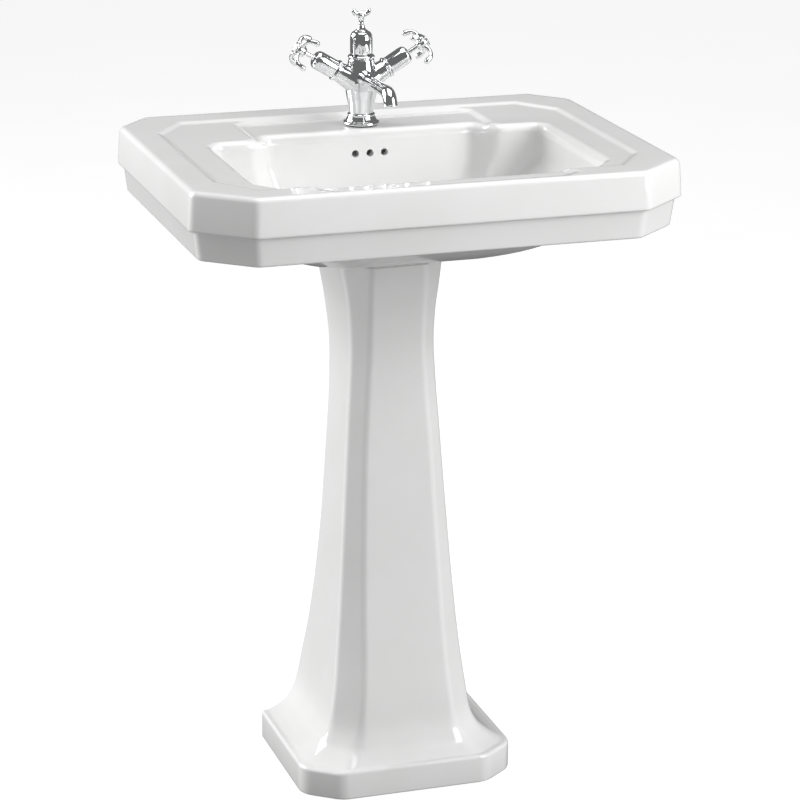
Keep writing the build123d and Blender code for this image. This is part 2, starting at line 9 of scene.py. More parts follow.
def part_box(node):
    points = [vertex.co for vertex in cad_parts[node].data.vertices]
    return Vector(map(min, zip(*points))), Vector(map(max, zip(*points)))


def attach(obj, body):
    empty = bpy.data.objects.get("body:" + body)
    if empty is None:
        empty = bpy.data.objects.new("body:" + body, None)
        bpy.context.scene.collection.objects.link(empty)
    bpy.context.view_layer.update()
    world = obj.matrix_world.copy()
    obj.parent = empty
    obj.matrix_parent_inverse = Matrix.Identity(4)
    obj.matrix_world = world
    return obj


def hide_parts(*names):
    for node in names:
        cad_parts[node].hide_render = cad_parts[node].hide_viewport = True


# Looks of the pedestal sink. Shapes are worked out in millimetres in the shared frame, from the
# boxes of the CAD nodes, and put into the scene in metres.

MM = 0.001
WELD_DISTANCE = 1e-6
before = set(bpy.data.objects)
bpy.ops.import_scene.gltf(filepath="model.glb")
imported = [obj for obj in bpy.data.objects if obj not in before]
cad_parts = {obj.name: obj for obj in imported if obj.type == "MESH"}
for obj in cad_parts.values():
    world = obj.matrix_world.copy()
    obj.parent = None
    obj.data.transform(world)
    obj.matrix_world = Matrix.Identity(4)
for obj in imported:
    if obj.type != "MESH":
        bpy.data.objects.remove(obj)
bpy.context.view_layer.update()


def node_box(name):
    low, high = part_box(name)
    return [c / MM for c in low], [c / MM for c in high]


# ---- sizes taken from the frame --------------------------------------------------------------
basin_low, basin_high = node_box("basin")
HALF_W = basin_high[0]
FRONT = basin_low[1]
WALL = basin_high[1]
FOOT_Z = basin_low[2]
RIM_Z = basin_high[2]
pedestal_low, pedestal_high = node_box("pedestal")
foot_low, foot_high = node_box("tap_foot")
TAP_Y = (foot_low[1] + foot_high[1]) / 2
FLANGE_Z = foot_low[2]
waste_low, waste_high = node_box("waste_body")
WASTE_Y = waste_low[1] + waste_high[0]
FLOOR_Z = waste_high[2] - 3
DECK_Z = RIM_Z - 2.5
LEDGE_Z = RIM_Z - 6
BAND_Z = RIM_Z - 47
SKIRT_Z = RIM_Z - 83
DECK_UNDER_Z = LEDGE_Z - 19
FRONT_CUT = (65, 56)
BACK_CUT = (42, 48)
STEP_CUT = (40, 56)
STEP_HALF, STEP_FRONT, STEP_BACK = HALF_W - 41, FRONT + 46, WALL - 46
LEDGE_HALF, LEDGE_BACK = 157, WALL - 52
BOWL_HALF, BOWL_FRONT, BOWL_BACK = HALF_W - 85, FRONT + 54, WALL - 126
WING_BACK, SHOULDER_IN, SHOULDER_OUT = BOWL_BACK - 38, 140, 158
OVERFLOW_Z = RIM_Z - 35
SHELL_BACK = BOWL_BACK + 18
CENTRE_Y = FRONT + 196


# ---- mesh helpers ------------------------------------------------------------------------------
def closed_mesh(name, verts, faces, weld=False):
    """Mesh in metres from points in millimetres, with its faces turned outwards."""
    mesh = bpy.data.meshes.new(name)
    mesh.from_pydata([tuple(c * MM for c in v) for v in verts], [], faces)
    work = bmesh.new()
    work.from_mesh(mesh)
    if weld:
        bmesh.ops.remove_doubles(work, verts=work.verts, dist=WELD_DISTANCE)
    bmesh.ops.recalc_face_normals(work, faces=work.faces)
    work.to_mesh(mesh)
    work.free()
    return mesh


def linked(name, data):
    """New object in the scene."""
    made = bpy.data.objects.new(name, data)
    bpy.context.collection.objects.link(made)
    return made


def finish_mesh(name, verts, faces, material, body="root", sharp=35):
    """One smooth-shaded closed object from points in millimetres."""
    mesh = closed_mesh(name, verts, faces, weld=True)
    mesh.polygons.foreach_set("use_smooth", [True] * len(mesh.polygons))
    mesh.set_sharp_from_angle(angle=radians(sharp))
    mesh.materials.append(material)
    made = linked(name, mesh)
    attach(made, body)
    return made


def ring_faces(rings, count, loop=False):
    """Four-sided faces between rings of count points; loop joins the last ring to the first."""
    faces = []
    for r in range(rings if loop else rings - 1):
        a, b = r * count, (r + 1) % rings * count
        for i in range(count):
            j = (i + 1) % count
            faces.append((a + i, a + j, b + j, b + i))
    return faces


def circle(r, z, steps):
    """Points round the Z axis at one height."""
    return [(r * cos(2 * pi * i / steps), r * sin(2 * pi * i / steps), z) for i in range(steps)]


def arc_corner(before, corner, after, radius, steps):
    """Points that round one corner of an outline."""
    p, a, b = Vector(corner), Vector(before), Vector(after)
    u, v = (a - p).normalized(), (b - p).normalized()
    turn = u.angle(v)
    if radius <= 0 or turn > pi - 0.01:
        return [tuple(p)]
    reach = min(radius / tan(turn / 2), 0.48 * (a - p).length, 0.48 * (b - p).length)
    radius = reach * tan(turn / 2)
    centre = p + (u + v).normalized() * radius / sin(turn / 2)
    start, end = p + u * reach - centre, p + v * reach - centre
    sweep = start.angle(end)
    points = []
    for k in range(steps + 1):
        t = k / steps
        weight_a, weight_b = sin((1 - t) * sweep) / sin(sweep), sin(t * sweep) / sin(sweep)
        points.append(tuple(centre + start * weight_a + end * weight_b))
    return points


def rounded(points, radius, steps=5, closed=True):
    """An outline with its corners rounded; radius is one value or one for each corner."""
    count = len(points)
    radii = radius if isinstance(radius, (list, tuple)) else [radius] * count
    result = []
    for i, point in enumerate(points):
        if not closed and i in (0, count - 1):
            result.append(tuple(point))
            continue
        result += arc_corner(points[i - 1], point, points[(i + 1) % count], radii[i], steps)
    return result


def turned(name, profile, material, place=Matrix(), steps=72, radius=0.5, body="root"):
    """Solid of revolution from (radius, height) points, with its corners softened."""
    closed = profile[0][0] > 0.01
    outline = rounded(profile, radius, 4, closed)
    verts = [tuple(place @ Vector(p)) for r, z in outline for p in circle(r, z, steps)]
    faces = ring_faces(len(outline), steps, closed)
    return finish_mesh(name, verts, faces, material, body)


def tube_mesh(path, radii, steps=24, squash=1.0, up=(0, 0, 1)):
    """Points and faces of a tube along a path, closed at both ends; squash flattens it along up."""
    path = [Vector(p) for p in path]
    verts, side = [], None
    for i, p in enumerate(path):
        ahead, behind = path[min(i + 1, len(path) - 1)], path[max(i - 1, 0)]
        along = (ahead - behind).normalized()
        side = along.cross(Vector(up)) if side is None else side - along * side.dot(along)
        side = side.normalized()
        other = side.cross(along)
        for k in range(steps):
            a = 2 * pi * k / steps
            verts.append(tuple(p + side * radii[i] * cos(a) + other * radii[i] * squash * sin(a)))
    faces = ring_faces(len(path), steps)
    last = (len(path) - 1) * steps
    faces.append(tuple(range(steps)))
    faces.append(tuple(last + k for k in reversed(range(steps))))
    return verts, faces


def domed(path, radii, steps=5):
    """Path and radii with a round nose added at the far end."""
    path = [Vector(p) for p in path]
    along = (path[-1] - path[-2]).normalized()
    end, r = path[-1], radii[-1]
    for k in range(1, steps + 1):
        a = pi / 2 * k / steps
        path.append(end + along * r * sin(a))
        radii = list(radii) + [max(r * cos(a), 0.02)]
    return path, radii


def spline(points, steps):
    """Catmull-Rom points through the given ones."""
    p = [Vector(q) for q in points]
    p = [2 * p[0] - p[1]] + p + [2 * p[-1] - p[-2]]
    result = []
    for i in range(1, len(p) - 2):
        for k in range(steps):
            t = k / steps
            a, b, c, d = p[i - 1:i + 3]
            result.append(0.5 * (2 * b + (c - a) * t + (2 * a - 5 * b + 4 * c - d) * t * t
                                 + (3 * b - a - 3 * c + d) * t ** 3))
    return result + [p[-2]]


def merged(name, parts, material, body="root", place=Matrix(), sharp=35):
    """One object from several (points, faces) pieces."""
    verts, faces = [], []
    for more_verts, more_faces in parts:
        base = len(verts)
        verts += [tuple(place @ Vector(v)) for v in more_verts]
        faces += [tuple(base + i for i in face) for face in more_faces]
    return finish_mesh(name, verts, faces, material, body, sharp)


def eased(table, x):
    """Row of a table at x, read along smooth monotone curves; the first column is x."""
    rows = np.array(sorted(table), float)
    xs, ys = rows[:, 0], rows[:, 1:]
    x = min(max(x, xs[0]), xs[-1])
    h = np.diff(xs)[:, None]
    slope = np.diff(ys, axis=0) / h
    m = np.zeros_like(ys)
    inner = slope[:-1] * slope[1:] > 0
    total = np.where(inner, slope[:-1] + slope[1:], 1)
    m[1:-1] = np.where(inner, 2 * slope[:-1] * slope[1:] / total, 0)
    m[0], m[-1] = slope[0], slope[-1]
    i = min(int(np.searchsorted(xs, x, side="right")) - 1, len(xs) - 2)
    d = h[i, 0]
    t = (x - xs[i]) / d
    return (ys[i] * (1 + 2 * t) * (1 - t) ** 2 + d * m[i] * t * (1 - t) ** 2
            + ys[i + 1] * t * t * (3 - 2 * t) + d * m[i + 1] * t * t * (t - 1))


def wave(t):
    """Smooth step from 0 to 1."""
    t = np.clip(t, 0, 1)
    return t * t * t * (t * (6 * t - 15) + 10)


# ---- materials ---------------------------------------------------------------------------------
def blank_material(name):
    material = bpy.data.materials.new(name)
    material.use_nodes = True
    tree = material.node_tree
    shader = tree.nodes["Principled BSDF"]
    where = tree.nodes.new("ShaderNodeTexCoord")
    return material, tree, shader, where


def noise(tree, where, scale, detail=3.0, rough=0.55, squeeze=None):
    """Noise in the object's own coordinates, in waves per metre; squeeze scales the axes."""
    source = where.outputs["Object"]
    if squeeze:
        mapping = tree.nodes.new("ShaderNodeMapping")
        mapping.inputs["Scale"].default_value = squeeze
        tree.links.new(source, mapping.inputs["Vector"])
        source = mapping.outputs["Vector"]
    node = tree.nodes.new("ShaderNodeTexNoise")
    node.inputs["Scale"].default_value = scale
    node.inputs["Detail"].default_value = detail
    node.inputs["Roughness"].default_value = rough
    tree.links.new(source, node.inputs["Vector"])
    return node.outputs["Fac"]


def ramp(tree, source, stops):
    """Colour from a 0 to 1 value."""
    node = tree.nodes.new("ShaderNodeValToRGB")
    while len(node.color_ramp.elements) < len(stops):
        node.color_ramp.elements.new(0.5)
    for element, (place, colour) in zip(node.color_ramp.elements, stops):
        element.position = place
        element.color = (*colour, 1)
    tree.links.new(source, node.inputs["Fac"])
    return node.outputs["Color"]


def spread(tree, source, low, high):
    """Noise stretched to run from low to high."""
    node = tree.nodes.new("ShaderNodeMapRange")
    node.inputs["From Min"].default_value = 0.3
    node.inputs["From Max"].default_value = 0.7
    node.inputs["To Min"].default_value = low
    node.inputs["To Max"].default_value = high
    tree.links.new(source, node.inputs["Value"])
    return node.outputs["Result"]


def bump(tree, shader, source, strength, distance):
    node = tree.nodes.new("ShaderNodeBump")
    node.inputs["Strength"].default_value = strength
    node.inputs["Distance"].default_value = distance
    tree.links.new(source, node.inputs["Height"])
    tree.links.new(node.outputs["Normal"], shader.inputs["Normal"])


def finish_look(name, dark, light, rough, grain, relief, metallic=0.0, coat=0.0, squeeze=None,
                ior=1.5):
    """Material whose colour, gloss and relief all vary a little over the surface."""
    material, tree, shader, where = blank_material(name)
    field = noise(tree, where, grain, squeeze=squeeze)
    tree.links.new(ramp(tree, field, [(0.35, dark), (0.65, light)]), shader.inputs["Base Color"])
    patches = noise(tree, where, grain * 0.37, detail=5)
    tree.links.new(spread(tree, patches, *rough), shader.inputs["Roughness"])
    shader.inputs["Metallic"].default_value = metallic
    shader.inputs["IOR"].default_value = ior
    shader.inputs["Coat Weight"].default_value = coat
    shader.inputs["Coat Roughness"].default_value = 0.02
    bump(tree, shader, noise(tree, where, grain * 1.7, detail=4, squeeze=squeeze), *relief)
    return material


GLAZE = finish_look("white_glaze", (0.80, 0.80, 0.795), (0.83, 0.83, 0.828), (0.07, 0.12), 9,
                    (0.03, 0.0012), coat=0.5, ior=1.52)
CHROME = finish_look("chrome_plate", (0.74, 0.75, 0.76), (0.80, 0.805, 0.81), (0.02, 0.055), 45,
                     (0.02, 0.0002), metallic=1.0)
BRASS = finish_look("raw_brass", (0.62, 0.42, 0.16), (0.74, 0.54, 0.24), (0.22, 0.36), 160,
                    (0.1, 0.0002), metallic=1.0)
COPPER = finish_look("copper_tube", (0.66, 0.30, 0.18), (0.80, 0.42, 0.27), (0.18, 0.34), 90,
                     (0.06, 0.0002), metallic=1.0, squeeze=(1, 1, 0.2))
STEEL = finish_look("zinc_steel", (0.46, 0.47, 0.48), (0.60, 0.60, 0.60), (0.26, 0.42), 260,
                    (0.1, 0.0001), metallic=1.0)
RUBBER = finish_look("black_rubber", (0.018, 0.018, 0.019), (0.04, 0.04, 0.042), (0.55, 0.75), 300,
                     (0.2, 0.0003))
SILICONE = finish_look("white_sealant", (0.70, 0.70, 0.69), (0.78, 0.78, 0.77), (0.28, 0.42), 120,
                       (0.2, 0.0005))
PLASTIC = finish_look("grey_plastic", (0.50, 0.51, 0.52), (0.58, 0.585, 0.59), (0.3, 0.42), 220,
                      (0.12, 0.0002))
PORCELAIN = finish_look("index_porcelain", (0.82, 0.81, 0.78), (0.88, 0.87, 0.85), (0.08, 0.16), 60,
                        (0.04, 0.0002), coat=0.6)

# ---- basin -------------------------------------------------------------------------------------
RAYS = 900
RIM_R = 7.0  # round along the top edge
RIM_LEAN = 2.8  # how far the upper band has leaned in where that round starts
BAND_R = 2.4  # round under the upper band
SKIRT_R = 3.0  # round at the foot of the lower band
SKIRT_INSET = 11.2
LIP_R = 9.0  # round of the bowl's lip
LIP_OUT = 5
DRAIN_R = 22
SHELL = 13  # thickness of the bowl's wall
TAP_HOLE_R = 17
WALL_HOLE_X, WALL_HOLE_Z, WALL_HOLE_R = 140, 768, 6
OVERFLOW_X = (-19, 0, 19)
DUCT_HALF = 29


def grown_cut(cut, grow):
    """Corner legs of an octagon after its sides and corners move out by grow."""
    fx, fy = cut
    slant = hypot(fx, fy)
    return fx + grow * (1 - (slant - fx) / fy), fy + grow * (1 - (slant - fy) / fx)


def octagon(half, front, back, front_cut, back_cut, radius):
    """Outline, the same left and right, with its four corners cut off and rounded."""
    fx, fy = front_cut
    bx, by = back_cut
    right = [(half - fx, front), (half, front + fy), (half, back - by), (half - bx, back)]
    return rounded(right + [(-x, y) for x, y in reversed(right)], radius, 6)


def rays_hit(outline, centre, angles):
    """Where rays from the centre meet an outline that the centre sees all round."""
    points = np.array(outline) - centre
    turn = np.arctan2(points[:, 1], points[:, 0]) % (2 * pi)
    order = np.argsort(turn)
    points, turn = points[order], turn[order]
    points = np.vstack([points[-1], points, points[0]])
    turn = np.concatenate([[turn[-1] - 2 * pi], turn, [turn[0] + 2 * pi]])
    i = np.searchsorted(turn, angles, side="right") - 1
    a, b = points[i], points[i + 1]
    ray = np.stack([np.cos(angles), np.sin(angles)], 1)
    edge = b - a
    across = ray[:, 0] * edge[:, 1] - ray[:, 1] * edge[:, 0]
    reach = (a[:, 0] * edge[:, 1] - a[:, 1] * edge[:, 0]) / across
    return centre + ray * reach[:, None]


def even_angles():
    """Directions that space points evenly along the rim."""
    outline = np.array(octagon(HALF_W, FRONT, WALL, FRONT_CUT, BACK_CUT, 8))
    loop = np.vstack([outline, outline[:1]])
    length = np.concatenate([[0], np.cumsum(np.hypot(*np.diff(loop, axis=0).T))])
    marks = np.linspace(0, length[-1], RAYS, endpoint=False)
    x, y = np.interp(marks, length, loop[:, 0]), np.interp(marks, length, loop[:, 1])
    return np.sort(np.arctan2(y - CENTRE_Y, x) % (2 * pi))


ANGLES = even_angles()


def level(outline, z, centre_y=CENTRE_Y):
    """Ring of RAYS points on an outline; z is one height or one for each point."""
    xy = rays_hit(outline, np.array([0, centre_y]), ANGLES)
    return np.column_stack([xy, np.broadcast_to(z, len(xy))])


def rim_outline(inset, back_inset, radius=14):
    """The basin's outline, moved in."""
    return octagon(HALF_W - inset, FRONT + inset, WALL - back_inset, grown_cut(FRONT_CUT, -inset),
                   grown_cut(BACK_CUT, -min(inset, back_inset)), radius)


def step_outline(grow):
    """Edge of the raised border round the deck, moved out."""
    cut = grown_cut(STEP_CUT, grow)
    radius = max(10 + grow, 3)
    return octagon(STEP_HALF + grow, STEP_FRONT - grow, STEP_BACK + grow, cut, cut, radius)


# share of the bowl's depth, then how far its side and its front have come in
BOWL_DEPTHS = [(0, 0, 0), (0.33, 7, 9), (0.56, 23, 26), (0.75, 61, 61), (0.9, 111, 111),
               (1, 172, 176)]


def bowl_outline(share, grow, back=None):
    """Bowl at a share of its depth; its back edge steps forward at both ends."""
    side_in, front_in = eased(BOWL_DEPTHS, share)
    half = BOWL_HALF - side_in + grow
    front = BOWL_FRONT + front_in - grow
    nominal_back = BOWL_BACK - 26 * share
    wing = nominal_back - (BOWL_BACK - WING_BACK) * (1 - 0.85 * share)
    size = 1 - 0.6 * side_in / BOWL_HALF
    fx, fy = grown_cut((28 * size, 33 * size), grow)
    bx, by = grown_cut((13 * size, 15 * size), grow)
    reach = half / BOWL_HALF
    y_back = nominal_back + grow if back is None else back
    y_wing = wing + grow
    right = [(half - fx, front), (half, front + fy), (half, y_wing - by), (half - bx, y_wing),
             ((SHOULDER_OUT + 3) * reach, y_wing), ((SHOULDER_IN - 3) * reach, y_back)]
    soft = 18 + 30 * share
    radii = [soft, soft, 16 + 20 * share, 16 + 20 * share, 17, 15]
    return rounded(right + [(-x, y) for x, y in reversed(right)], radii + radii[::-1], 8)


def side_distance(x, y, half, front, back, cut, soft=6.0):
    """How far outside an octagon with equal cuts a point is; negative inside, soft at corners."""
    fx, fy = cut
    slant = hypot(fx, fy)
    walls = [np.abs(x) - half, front - y, y - back]
    for edge in (front, back):
        sign = 1 if edge == back else -1
        walls.append(((np.abs(x) - half) * fy + sign * (y - edge) * fx + fx * fy) / slant)
    walls = np.stack(walls)
    top = walls.max(axis=0)
    return top + soft * np.log(np.exp((walls - top) / soft).sum(axis=0)) * 0.25


def deck_height(x, y):
    """Height of the deck, with its raised border and the sunk ledge for the tap."""
    step = side_distance(x, y, STEP_HALF, STEP_FRONT, STEP_BACK, STEP_CUT, 2.0)
    ledge = side_distance(x, y, LEDGE_HALF, -BOWL_HALF, LEDGE_BACK, (16, 14), 2.0)
    drop = (RIM_Z - DECK_Z) * wave((3 - step) / 10)
    return RIM_Z - drop - (DECK_Z - LEDGE_Z) * wave((4 - ledge) / 12)


def blend_rings(a, b, shares):
    return [a + (b - a) * t for t in shares]


def on_deck(ring):
    ring = ring.copy()
    ring[:, 2] = deck_height(ring[:, 0], ring[:, 1])
    return ring


def circle_ring(r, z):
    return np.column_stack([r * np.cos(ANGLES), WASTE_Y + r * np.sin(ANGLES), np.full(RAYS, z)])


def deck_rings():
    """The deck, from the rim inwards to the bowl's lip."""
    edge = level(rim_outline(RIM_LEAN + RIM_R, RIM_R), RIM_Z)
    outer = level(step_outline(4), RIM_Z)
    inner = level(step_outline(-8), DECK_Z)
    lip = level(bowl_outline(0, LIP_OUT), DECK_Z)
    deck = blend_rings(edge, outer, np.linspace(0, 1, 8)[:-1])
    deck += blend_rings(outer, inner, np.linspace(0, 1, 8)[:-1])
    deck += blend_rings(inner, lip, np.linspace(0, 1, 42) ** 1.2)
    return [on_deck(ring) for ring in deck]


def bowl_rings(lip_z):
    """The rounded lip, the bowl's wall and floor, and the hole for the waste."""
    rings = []
    for turn in np.linspace(0, pi / 2, 10)[1:]:
        outline = bowl_outline(0, LIP_OUT - LIP_R * sin(turn))
        rings.append(level(outline, lip_z - LIP_R * (1 - cos(turn))))
    lip_share = (RIM_Z - DECK_Z + LIP_R) / (RIM_Z - FLOOR_Z)
    steep, shallow = np.linspace(lip_share, 0.75, 30)[1:], np.linspace(0.75, 0.995, 22)[1:]
    for share in np.concatenate([steep, shallow]):
        fade = max(0, 1 - (share - lip_share) / 0.35) ** 2
        z = RIM_Z - (RIM_Z - FLOOR_Z) * share + (lip_z - DECK_Z) * fade
        centre = CENTRE_Y + (WASTE_Y - CENTRE_Y) * share
        rings.append(level(bowl_outline(share, -4 * fade), z, centre))
    for r, z in ((34, FLOOR_Z), (31, FLOOR_Z - 0.5), (DRAIN_R + 1, FLOOR_Z - 0.6),
                 (DRAIN_R, FLOOR_Z - 2), (DRAIN_R, FOOT_Z + 1.5)):
        rings.append(circle_ring(r, z))
    return rings


def under_rings():
    """The foot that sits on the pedestal, the bowl's outside and the hollow under the deck."""
    rings = [circle_ring(DRAIN_R + 1.5, FOOT_Z)]
    for inset, z in ((8, FOOT_Z), (3, FOOT_Z), (0.9, FOOT_Z + 0.9), (0, FOOT_Z + 3),
                     (-1, FOOT_Z + 7), (-4, FOOT_Z + 10)):
        half, front, back = 71 - inset, -26 + inset, 127.5 - max(inset, 0)
        outline = octagon(half, front, back, grown_cut((32, 32), -inset), (10, 10), 7)
        rings.append(level(outline, z, WASTE_Y))
    for share in np.linspace(0.93, 0.19, 26):
        centre = CENTRE_Y + (WASTE_Y - CENTRE_Y) * share
        z = RIM_Z - (RIM_Z - FLOOR_Z + SHELL) * share
        rings.append(level(bowl_outline(share, SHELL, SHELL_BACK), z, centre))
    rings.append(level(bowl_outline(0.15, SHELL + 3, SHELL_BACK + 2), DECK_UNDER_Z))
    for inset, back_inset, z in ((30, 18, DECK_UNDER_Z), (24, 15, DECK_UNDER_Z - 1.5),
                                 (21, 13, DECK_UNDER_Z - 6), (21, 13, SKIRT_Z + 3),
                                 (20, 12, SKIRT_Z + 0.8), (18, 10, SKIRT_Z)):
        rings.append(level(rim_outline(inset, back_inset, 9), z))
    return rings


def band_rings():
    """The lower band, the step, the upper band and the rounded rim."""
    rings = []
    for turn in np.linspace(0, pi / 2, 6):
        inward = SKIRT_R * (1 - sin(turn))
        z = SKIRT_Z + SKIRT_R * (1 - cos(turn))
        rings.append(level(rim_outline(SKIRT_INSET + inward, inward), z))
    for inset, z in ((11.0, SKIRT_Z + 5), (7.2, BAND_Z - 3), (6.9, BAND_Z - 1.2),
                     (6.0, BAND_Z - 0.2)):
        rings.append(level(rim_outline(inset, 0), z))
    for turn in np.linspace(0, pi / 2, 6):
        outline = rim_outline(BAND_R * (1 - sin(turn)), 0)
        rings.append(level(outline, BAND_Z + BAND_R * (1 - cos(turn))))
    rings.append(level(rim_outline(0.1, 0), BAND_Z + 4))
    rings.append(level(rim_outline(2.3, 0), RIM_Z - 9))
    for turn in np.linspace(0, pi / 2, 9)[:-1]:
        inward = RIM_R * (1 - cos(turn))
        outline = rim_outline(RIM_LEAN + inward, inward)
        rings.append(level(outline, RIM_Z - RIM_R + RIM_R * sin(turn)))
    return rings


def basin_rings():
    """Every ring of the basin, once round its section."""
    deck = deck_rings()
    return deck + bowl_rings(deck[-1][:, 2]) + under_rings() + band_rings()


def cutter(name, verts, faces):
    """Closed mesh that a Boolean takes away."""
    return linked(name, closed_mesh(name, verts, faces))


def round_cutter(name, start, along, steps_r, turns=32):
    """Turned cutter from a start point along an axis, through (radius, distance) points."""
    along = Vector(along).normalized()
    place = Matrix.Translation(start) @ along.to_track_quat("Z", "Y").to_matrix().to_4x4()
    verts = [tuple(place @ Vector(p)) for r, d in steps_r for p in circle(r, d, turns)]
    faces = ring_faces(len(steps_r), turns)
    faces += [tuple(range(turns)), tuple((len(steps_r) - 1) * turns + i for i in range(turns))]
    return cutter(name, verts, faces)


def box_cutter(name, low, high):
    """Cutter in the shape of a box between two corners."""
    xs, ys, zs = zip(low, high)
    verts = [(x, y, z) for x in xs for y in ys for z in zs]
    faces = [(0, 1, 3, 2), (4, 6, 7, 5), (0, 4, 5, 1), (2, 3, 7, 6), (0, 2, 6, 4), (1, 5, 7, 3)]
    return cutter(name, verts, faces)


def cut_away(target, cutters):
    """Take the cutters out of a mesh, and remove them."""
    for tool in cutters:
        modifier = target.modifiers.new(tool.name, "BOOLEAN")
        modifier.operation = "DIFFERENCE"
        modifier.solver = "EXACT"
        modifier.object = tool
    bpy.context.view_layer.update()
    evaluated = target.evaluated_get(bpy.context.evaluated_depsgraph_get())
    solved = bpy.data.meshes.new_from_object(evaluated)
    target.modifiers.clear()
    target.data = solved
    for tool in cutters:
        bpy.data.objects.remove(tool)
    solved.set_sharp_from_angle(angle=radians(40))


def make_basin():
    """The basin as one shell, with its holes cut."""
    rings = basin_rings()
    verts = np.vstack(rings)
    faces = ring_faces(len(rings), RAYS, loop=True)
    basin = finish_mesh("basin_china", verts.tolist(), faces, GLAZE, sharp=50)
    tools = [round_cutter("tap_hole", (0, TAP_Y, DECK_UNDER_Z - 6), (0, 0, 1),
                          [(TAP_HOLE_R, 0), (TAP_HOLE_R, 60)], 48)]
    for x in (-WALL_HOLE_X, WALL_HOLE_X):
        tools.append(round_cutter("wall_hole", (x, WALL + 2, WALL_HOLE_Z), (0, -1, 0),
                                  [(WALL_HOLE_R, 0), (WALL_HOLE_R, 28)]))
    tools.append(box_cutter("duct", (-DUCT_HALF, SHELL_BACK - 14, FLOOR_Z - 6),
                            (DUCT_HALF, SHELL_BACK - 6, OVERFLOW_Z + 8)))
    for x in OVERFLOW_X:
        shape = [(6.5, 0), (6.5, 8), (5.2, 12.6), (4.6, 13.4), (4.5, 14.2), (4.5, 36)]
        tools.append(round_cutter("overflow", (x, BOWL_BACK - 21, OVERFLOW_Z), (0, 1, 0), shape))
    cut_away(basin, tools)
    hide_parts("basin")


make_basin()

# ---- pedestal ----------------------------------------------------------------------------------
WALL_T = 12.0
TOP_Z = pedestal_high[2]
PLINTH_TOP = 38.0
# height, half width, front face, corner legs along X and Y, and rear edge
SHAFT = [
    (TOP_Z, 67.0, -21.0, 32.0, 32.0, 125.0), (640, 61.3, -18.8, 25.5, 25.5, 122.5),
    (605, 57.0, -14.8, 22.0, 22.0, 115.0), (565, 55.4, -12.8, 20.5, 20.5, 102.0),
    (520, 57.3, -14.0, 19.6, 19.6, 91.5), (460, 61.3, -18.0, 19.6, 19.6, 86.0),
    (350, 68.5, -27.8, 21.5, 21.5, 86.0), (250, 75.5, -39.5, 24.5, 24.5, 94.0),
    (170, 82.5, -51.5, 28.5, 28.5, 107.0), (115, 89.0, -61.7, 31.0, 31.0, 120.0),
    (80, 95.5, -66.0, 33.0, 33.0, 123.0), (58, 106.0, -73.0, 36.0, 35.0, 124.0),
    (45, 121.0, -82.5, 39.5, 36.0, 125.0), (PLINTH_TOP, 134.5, -89.0, 42.0, 34.0, 126.0),
]
PLINTH = (pedestal_high[0], pedestal_low[1], 43.5, 33.5, pedestal_high[1])
PLINTH_R = 4.5  # round along the plinth's top edge
SHAFT_CORNER_R, PLINTH_CORNER_R = 13.0, 30.0
LUG_X, LUG_Y, LUG_HOLE_R = 105, 106, 4


def channel(half, front, cut_x, cut_y, back, radius, wall):
    """C-shaped section, open at the back, as matching outer and inner points."""
    def run(inset, corner_r):
        cx, cy = grown_cut((cut_x, cut_y), -inset)
        h, f = half - inset, front + inset
        right = [(h, back), (h, f + cy), (h - cx, f)]
        line = rounded([(0, f)] + right[::-1], [0, corner_r, corner_r, 0], 8, closed=False)
        marks = [line[0]]
        for a, b in zip(line[:-1], line[1:]):
            span = hypot(b[0] - a[0], b[1] - a[1])
            if span > 8:
                near = 1.2 / span
                marks += [(a[0] + (b[0] - a[0]) * t, a[1] + (b[1] - a[1]) * t)
                          for t in (near, 0.5, 1 - near)]
            marks.append(b)
        return marks
    return run(0, radius), run(wall, max(radius - wall * 0.4, 2))


def pedestal_levels():
    """Every section from the top of the shaft down to the floor, with its corner radius."""
    levels = []
    h, f, cx, cy, b = eased(SHAFT, TOP_Z)
    for drop, inset in ((0, 2.0), (0.6, 0.6), (2.0, 0.0)):
        levels.append((TOP_Z - drop, h - inset, f + inset, cx - inset, cy - inset, b,
                       SHAFT_CORNER_R))
    for z in np.concatenate([np.linspace(TOP_Z - 6, 60, 84), np.linspace(58, PLINTH_TOP, 13)]):
        share = float(wave((110 - z) / 70))
        corner_r = SHAFT_CORNER_R + (PLINTH_CORNER_R - SHAFT_CORNER_R) * share
        levels.append((z, *eased(SHAFT, z), corner_r))
    half, front, cx, cy, back = PLINTH
    rounding = [(PLINTH_TOP - PLINTH_R * (1 - cos(turn)), PLINTH_R * (1 - sin(turn)))
                for turn in np.linspace(0.12, pi / 2, 8)]
    for z, inset in rounding + [(PLINTH_TOP - 6, 0), (3, 0), (1, 0.5), (0, 2)]:
        levels.append((z, half - inset, front + inset, cx, cy, back, PLINTH_CORNER_R))
    return levels


def make_pedestal():
    """Shell open at the back, with a floor lug at each side."""
    verts = []
    levels = pedestal_levels()
    for z, half, front, cx, cy, back, radius in levels:
        outer, inner = channel(half, front, cx, cy, back, radius, WALL_T)
        wall = outer[::-1][:-1] + [(-x, y) for x, y in outer]
        lining = inner[::-1][:-1] + [(-x, y) for x, y in inner]
        loop = wall + lining[::-1]
        verts += [(x, y, z) for x, y in loop]
    count = len(loop)
    faces = ring_faces(len(levels), count)
    for base in (0, (len(levels) - 1) * count):
        for i in range(count // 2 - 1):
            faces.append((base + i, base + i + 1, base + count - 2 - i, base + count - 1 - i))
    parts = [(verts, faces), floor_lug(-LUG_X), floor_lug(LUG_X)]
    pedestal = merged("pedestal_china", parts, GLAZE, sharp=50)
    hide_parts("pedestal")


